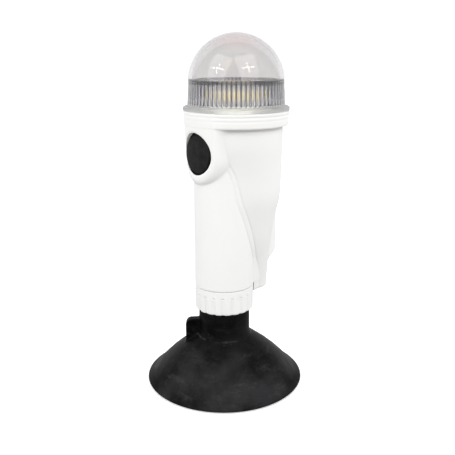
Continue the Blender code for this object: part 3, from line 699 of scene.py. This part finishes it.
def white_plastic():
    """White moulding with faint clouding, hairline scuffs and painted shade in two corners."""
    shader = Shader("white_plastic_look")
    cloud = shader.noise(26.0, 4.0)
    tint = shader.ramp(cloud, (0.25, (0.86, 0.858, 0.842)), (0.75, (0.885, 0.884, 0.874)))
    long_marks = shader.noise(120.0, 6.0, 0.7, shader.stretched((1.0, 1.0, 0.12)))
    scuffs = shader.ramp(long_marks, (0.66, 0.0), (0.78, 0.05))
    tint = shader.mix(scuffs, tint, (0.66, 0.65, 0.62))
    # Painted shade: the two corners are darkened towards this grey.
    tint = shader.mix(painted_corner_shade(shader), tint, (0.50, 0.49, 0.475))
    gloss = shader.spread(shader.noise(170.0, 5.0, 0.6), 0.3, 0.46)
    shader.bump(shader.noise(2400.0, 2.0), 0.08, 0.00003)
    shader.set(IOR=1.5)
    return shader.finish(tint, gloss)


def dusty_rubber():
    """Black rubber: a matt bloom in long soft streaks, dust patches, small nicks, a patchy lighter
    line round the neck's foot, and painted shade that darkens it up the neck.
    """
    shader = Shader("dusty_rubber_look")
    black = (0.0022, 0.0021, 0.0024)
    bloom = (0.024, 0.0236, 0.0252)
    cloud = shader.noise(34.0, 6.0, 0.6)
    tint = shader.ramp(cloud, (0.40, black), (0.66, bloom))
    streaks = shader.noise(46.0, 9.0, 0.75, shader.stretched((1.0, 1.0, 3.2)))
    dust = shader.ramp(streaks, (0.53, 0.0), (0.70, 0.7))
    tint = shader.mix(dust, tint, (0.045, 0.044, 0.045))
    height = shader.height(0.0, NECK_TOP)
    # Painted shade by height: a little darker at the rim, and much darker up the shoulder and neck.
    height_painted_shade = shader.ramp(height, (0.0, 0.8), (0.25, 1.0), (0.5, 0.75), (0.66, 0.35))
    tint = shader.mix(1.0, tint, height_painted_shade, "MULTIPLY")
    # A patchy lighter line round the foot of the neck.
    neck_foot_ring = shader.ramp(height, (0.615, 0.0), (0.63, 1.0), (0.645, 0.0))
    patchy = shader.ramp(shader.noise(150.0, 3.0), (0.42, 0.0), (0.62, 0.8))
    patchy_neck_foot_ring = shader.mix(1.0, neck_foot_ring, patchy, "MULTIPLY")
    tint = shader.mix(patchy_neck_foot_ring, tint, (0.055, 0.054, 0.053))
    specks = shader.noise(900.0, 2.0, 0.5)
    speck = shader.ramp(specks, (0.70, 0.0), (0.76, 0.4))
    tint = shader.mix(speck, tint, (0.09, 0.09, 0.09))
    gloss = shader.spread(shader.noise(60.0, 6.0, 0.65), 0.36, 0.6)
    shader.set(Specular_IOR_Level=0.05)
    shader.bump(shader.noise(420.0, 7.0, 0.7), 0.5, 0.00022)
    return shader.finish(tint, gloss)


def button_rubber():
    """Black rubber, cleaner than the cup's, with soft finger marks."""
    shader = Shader("button_rubber_look")
    cloud = shader.noise(150.0, 7.0, 0.75)
    tint = shader.ramp(cloud, (0.38, (0.003, 0.0027, 0.003)), (0.68, (0.017, 0.0155, 0.0165)))
    shader.set(Specular_IOR_Level=0.11)
    gloss = shader.spread(shader.noise(240.0, 4.0, 0.6), 0.42, 0.65)
    shader.bump(shader.noise(1500.0, 3.0, 0.6), 0.2, 0.00006)
    return shader.finish(tint, gloss)


def clear_plastic():
    """Clear moulding with a tint by height that stands for refraction and reflection: a grey dome
    that is partly painted shade, painted shade at the ledge, over the ribbed band and in its rib
    grooves, a lighter flange, and a painted pink reflection on top.
    """
    shader = Shader("clear_plastic_look")
    height = shader.height(COLLAR_TOP, LENS_TOP)

    def at(level):
        """A height in millimetres as a place along the ramp."""
        return (level - COLLAR_TOP) / (LENS_TOP - COLLAR_TOP)

    # Painted shade and reflection: the dome's grey is partly painted shade, the ledge and the band
    # are darkened as painted shade, and the pink towards the top is a painted reflection.
    dome = (0.815, 0.80, 0.80)
    ledge = (0.26, 0.245, 0.25)
    band = (0.49, 0.48, 0.50)
    flange = (0.92, 0.92, 0.915)
    pink = (0.86, 0.77, 0.77)
    tint = shader.ramp(height, (0.0, flange), (at(FLANGE_TOP + 0.2), flange),
                       (at(FLANGE_TOP + 1.4), band), (at(RIB_TOP - 0.4), band),
                       (at(RIB_TOP + 0.3), ledge), (at(INNER_LEDGE_TOP - 0.1), ledge),
                       (at(INNER_LEDGE_TOP + 0.3), dome), (at(213.0), dome), (1.0, pink))
    # Painted shade in the rib grooves: the band's tint is darkened once for each rib round it.
    groove = shader.ramp(shader.wave_around(HEAD_Y, RIBS), (0.5, 1.0), (0.95, 0.3))
    ribbed = shader.ramp(height, (at(FLANGE_TOP + 0.4), 0.0), (at(FLANGE_TOP + 1.2), 1.0),
                         (at(INNER_LEDGE_TOP - 0.4), 1.0), (at(INNER_LEDGE_TOP + 0.1), 0.0))
    tint = shader.mix(ribbed, tint, shader.mix(1.0, tint, groove, "MULTIPLY"))
    flow = shader.noise(60.0, 4.0, 0.6, shader.stretched((1.0, 1.0, 0.4)))
    tint = shader.mix(1.0, tint, shader.ramp(flow, (0.3, 0.97), (0.7, 1.0)), "MULTIPLY")
    frosted = shader.ramp(height, (at(FLANGE_TOP), 0.38), (at(FLANGE_TOP + 0.8), 0.03))
    gloss = shader.mix(0.3, frosted, shader.ramp(flow, (0.3, 0.0), (0.7, 0.08)), "ADD")
    shader.set(IOR=1.49, Transmission_Weight=1.0)
    return shader.finish(tint, gloss)


def metal(name, colour, roughness):
    """Machined or rolled metal: fine lines round the part and uneven polish."""
    shader = Shader(name)
    lines = shader.noise(900.0, 3.0, 0.6, shader.stretched((0.15, 0.15, 1.0)))
    darker = tuple(value * 0.82 for value in colour)
    tint = shader.ramp(lines, (0.3, darker), (0.7, colour))
    gloss = shader.spread(shader.noise(400.0, 4.0), roughness * 0.7, roughness * 1.4)
    shader.bump(lines, 0.1, 0.00003)
    shader.set(Metallic=1.0)
    return shader.finish(tint, gloss)


def circuit_board(name, glow):
    """White solder mask over faint traces, with a painted glow of the given strength that lights it
    up though it is no lamp.
    """
    shader = Shader(name)
    traces = shader.tree.nodes.new("ShaderNodeTexVoronoi")
    traces.feature = "DISTANCE_TO_EDGE"
    traces.inputs["Scale"].default_value = 170.0
    shader.link(shader.place, traces.inputs["Vector"])
    line = shader.ramp(traces.outputs["Distance"], (0.05, 0.5), (0.09, 0.0))
    tint = shader.mix(line, (0.86, 0.87, 0.85), (0.76, 0.79, 0.76))
    gloss = shader.spread(shader.noise(300.0, 3.0), 0.3, 0.5)
    shader.bump(traces.outputs["Distance"], 0.05, 0.00003)
    shader.set(Emission_Color=(1.0, 0.98, 0.93, 1.0), Emission_Strength=glow)
    return shader.finish(tint, gloss)


def phosphor():
    """Yellow emitter coating in clear resin, with a grainy surface."""
    shader = Shader("phosphor_look")
    grain = shader.noise(1800.0, 4.0, 0.6)
    tint = shader.ramp(grain, (0.3, (0.90, 0.74, 0.28)), (0.7, (0.98, 0.88, 0.45)))
    shader.set(Roughness=0.3, Coat_Weight=0.6)
    shader.bump(grain, 0.15, 0.00005)
    shader.set(Emission_Color=(1.0, 0.86, 0.48, 1.0), Emission_Strength=1.1)
    return shader.finish(tint)


def cell_sleeve():
    """Plain battery sleeve: dark blue with a copper-coloured band at one end."""
    shader = Shader("cell_sleeve_look")
    band_foot = 115.5
    height = shader.height(band_foot, band_foot + 0.5)
    mottled = shader.ramp(shader.noise(500.0, 3.0), (0.3, (0.03, 0.05, 0.11)),
                          (0.7, (0.045, 0.07, 0.14)))
    tint = shader.mix(height, mottled, (0.72, 0.40, 0.22))
    gloss = shader.spread(shader.noise(200.0, 3.0), 0.2, 0.36)
    shader.set(Metallic=0.5)
    return shader.finish(tint, gloss)


# ---------------------------------------------------------------- putting it together

def dress(item, material, body, slot_name, *replaced):
    """Give a piece its material and its body, and hide the CAD nodes that it stands for; slot_name
    is not used.
    """
    item.data.materials.clear()
    item.data.materials.append(material)
    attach(item, body)
    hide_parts(*replaced)


def body_of_node(name):
    """The body that the record says a CAD node belongs to."""
    for body, members in frame["record"]["behaviour"]["bodies"].items():
        if name in members:
            return body
    raise KeyError(name)


def dress_nodes():
    """Give every carried-over CAD node the look of its material slot."""
    looks = {
        "white_plastic": moulded_plastic("inner_white_look", (0.88, 0.88, 0.87), 0.4),
        "seal_rubber": moulded_plastic("seal_rubber_look", (0.03, 0.03, 0.03), 0.55, 1500.0),
        "black_plastic": moulded_plastic("black_plastic_look", (0.035, 0.035, 0.038), 0.42),
        "steel": metal("steel_look", (0.66, 0.66, 0.67), 0.28),
        "brass": metal("brass_look", (0.80, 0.62, 0.30), 0.26),
        "board_white": circuit_board("circuit_board_look", 0.03),
        "led_yellow": phosphor(),
        "battery_sleeve": cell_sleeve(),
        "wire_red": moulded_plastic("wire_red_look", (0.55, 0.03, 0.03), 0.4),
        "wire_black": moulded_plastic("wire_black_look", (0.02, 0.02, 0.02), 0.4),
        "wire_white": moulded_plastic("wire_white_look", (0.78, 0.78, 0.76), 0.4),
    }
    # The LED post gets a stronger painted glow, so that it shows bright inside the lens.
    by_node = {"led_post": circuit_board("led_post_look", 0.38)}
    for entry in frame["record"]["subparts"]:
        look = by_node.get(entry["node"]) or looks.get(entry["material_slot"])
        if look:
            node = frame["nodes"][entry["node"]]
            node.data.materials.clear()
            node.data.materials.append(look)


def make_pieces():
    """The finer outer pieces, each on the body of the CAD node that it belongs with."""
    white = white_plastic()
    dress(make_housing(), white, body_of_node("housing"), "white_plastic", "housing")
    dress(make_end_cap(), white, body_of_node("end_cap"), "white_plastic", "end_cap")
    dress(make_suction_cup(), dusty_rubber(), body_of_node("suction_cup"), "black_rubber",
          "suction_cup")
    boot_look = button_rubber()
    dress(make_button(), boot_look, body_of_node("button_cap"), "black_rubber", "button_cap")
    dress(make_button_boot(), boot_look, body_of_node("housing"), "black_rubber")
    lens = make_lens()
    lens.visible_shadow = False
    dress(lens, clear_plastic(), body_of_node("lens"), "clear_plastic", "lens")


# ---------------------------------------------------------------- stage

def make_floor():
    """Plain white floor; its own glow rises with distance so that it meets the backdrop."""
    size = 4.0
    mesh = bpy.data.meshes.new("floor")
    shape = bmesh.new()
    bmesh.ops.create_grid(shape, x_segments=1, y_segments=1, size=size)
    shape.to_mesh(mesh)
    shape.free()
    floor = bpy.data.objects.new("floor", mesh)
    bpy.context.scene.collection.objects.link(floor)
    shader = Shader("floor_look")
    tint = shader.ramp(shader.noise(3.0, 2.0), (0.3, 0.86), (0.7, 0.88))
    far = shader.tree.nodes.new("ShaderNodeVectorMath")
    far.operation = "LENGTH"
    shader.link(shader.place, far.inputs[0])
    glow = shader.spread(far.outputs["Value"], 0.42, 0.8)
    shader.link(glow, shader.surface.inputs["Emission Strength"])
    shader.set(Roughness=0.9, Emission_Color=(1.0, 1.0, 1.0, 1.0))
    floor.data.materials.append(shader.finish(tint))
    floor.visible_diffuse = False
    floor.visible_glossy = False


def area_light(name, position, target, size, power, height=None):
    """A white area light aimed at the target: square, or a rectangle where height is given."""
    data = bpy.data.lights.new(name, "AREA")
    data.energy = power
    data.size = size
    if height:
        data.shape = "RECTANGLE"
        data.size_y = height
    light = bpy.data.objects.new(name, data)
    light.location = position
    aim = Vector(target) - Vector(position)
    light.rotation_euler = aim.to_track_quat("-Z", "Y").to_euler()
    bpy.context.scene.collection.objects.link(light)
    return light


def view_frame():
    """The camera's level directions: to the right, and away from the viewer."""
    azimuth = math.radians(52.5)
    right = Vector((math.cos(azimuth), math.sin(azimuth), 0))
    away = Vector((-math.sin(azimuth), math.cos(azimuth), 0))
    return right, away


def make_camera():
    """A camera a little above the light, near enough for some perspective."""
    right, away = view_frame()
    pitch = math.radians(15.28)
    roll = math.radians(0.15)
    stand_off, sideways, eye_height = 0.3936, 0.00228, 0.2108
    look = away * math.cos(pitch) - Vector((0, 0, 1)) * math.sin(pitch)
    up = right.cross(look)
    turn = Matrix((right, up, -look)).transposed() @ Matrix.Rotation(-roll, 3, "Z")
    data = bpy.data.cameras.new("camera")
    data.lens = 50.4
    data.sensor_width = 36.0
    camera = bpy.data.objects.new("camera", data)
    place = -away * stand_off + right * sideways + Vector((0, 0, eye_height))
    camera.matrix_world = Matrix.Translation(place) @ turn.to_4x4()
    bpy.context.scene.collection.objects.link(camera)
    bpy.context.scene.camera = camera


def soft_box(name, direction, middle, power):
    """A big soft box, with the bright cross that its lamp makes in its cloth."""
    distance = 1.1
    area_light(name, middle + direction * distance, middle, 0.9, power, height=1.2)
    nearer = middle + direction * (distance - 0.02)
    area_light(name + "_lamp_across", nearer, middle, 0.62, 0.56, height=0.024)
    area_light(name + "_lamp_upright", nearer, middle, 0.024, 0.38, height=0.42)


def world_ramp(tree, factor, low, low_colour, high, high_colour):
    """Blend from one colour to another as the factor goes from low to high."""
    node = tree.nodes.new("ShaderNodeValToRGB")
    for point, position, colour in zip(node.color_ramp.elements, (low, high),
                                       (low_colour, high_colour)):
        point.position = position
        point.color = (*colour, 1.0)
    tree.links.new(factor, node.inputs["Fac"])
    return node.outputs["Color"]


def make_world(away):
    """White all round the horizon, dimmer overhead, and dark above where the viewer stands."""
    world = bpy.data.worlds.new("studio")
    world.use_nodes = True
    tree = world.node_tree
    place = tree.nodes.new("ShaderNodeTexCoord").outputs["Generated"]
    split = tree.nodes.new("ShaderNodeSeparateXYZ")
    tree.links.new(place, split.inputs["Vector"])
    upward = world_ramp(tree, split.outputs["Z"], 0.13, (0.0, 0.0, 0.0), 0.36, (1.0, 1.0, 1.0))
    along = tree.nodes.new("ShaderNodeVectorMath")
    along.operation = "DOT_PRODUCT"
    tree.links.new(place, along.inputs[0])
    along.inputs[1].default_value = -away
    overhead = world_ramp(tree, along.outputs["Value"], 0.2, (0.85, 0.86, 0.87),
                          0.7, (0.10, 0.095, 0.095))
    horizon = tree.nodes.new("ShaderNodeMapRange")
    for name, value in (("From Min", -0.35), ("From Max", -0.12), ("To Min", 0.62),
                        ("To Max", 1.03)):
        horizon.inputs[name].default_value = value
    tree.links.new(split.outputs["Z"], horizon.inputs["Value"])
    mix = tree.nodes.new("ShaderNodeMix")
    mix.data_type = "RGBA"
    for socket, source in zip((mix.inputs[0], mix.inputs[6], mix.inputs[7]),
                              (upward, horizon.outputs["Result"], overhead)):
        tree.links.new(source, socket)
    tree.links.new(mix.outputs[2], tree.nodes["Background"].inputs["Color"])
    bpy.context.scene.world = world


def make_lights():
    """Two soft boxes on the viewer's side, and weak side and top fills that don't show."""
    right, away = view_frame()
    up = Vector((0, 0, 1))
    middle = Vector((0, 0.01, 0.15))
    soft_box("box_left", -right * 0.64 - away * 0.53 + up * 0.55, middle, 4.8)
    soft_box("box_right", right * 0.42 - away * 0.67 + up * 0.61, middle, 4.7)
    side = area_light("side", middle + right * 1.2 - away * 0.1 + up * 0.05, middle, 0.8, 2.0)
    top = area_light("top", middle + up * 1.3 + away * 0.2, middle, 1.0, 4.0)
    for fill in (side, top):
        fill.visible_glossy = False
        fill.visible_transmission = False
    make_world(away)


make_camera()
make_pieces()
dress_nodes()
make_floor()
make_lights()
bpy.context.scene.view_settings.view_transform = "Standard"
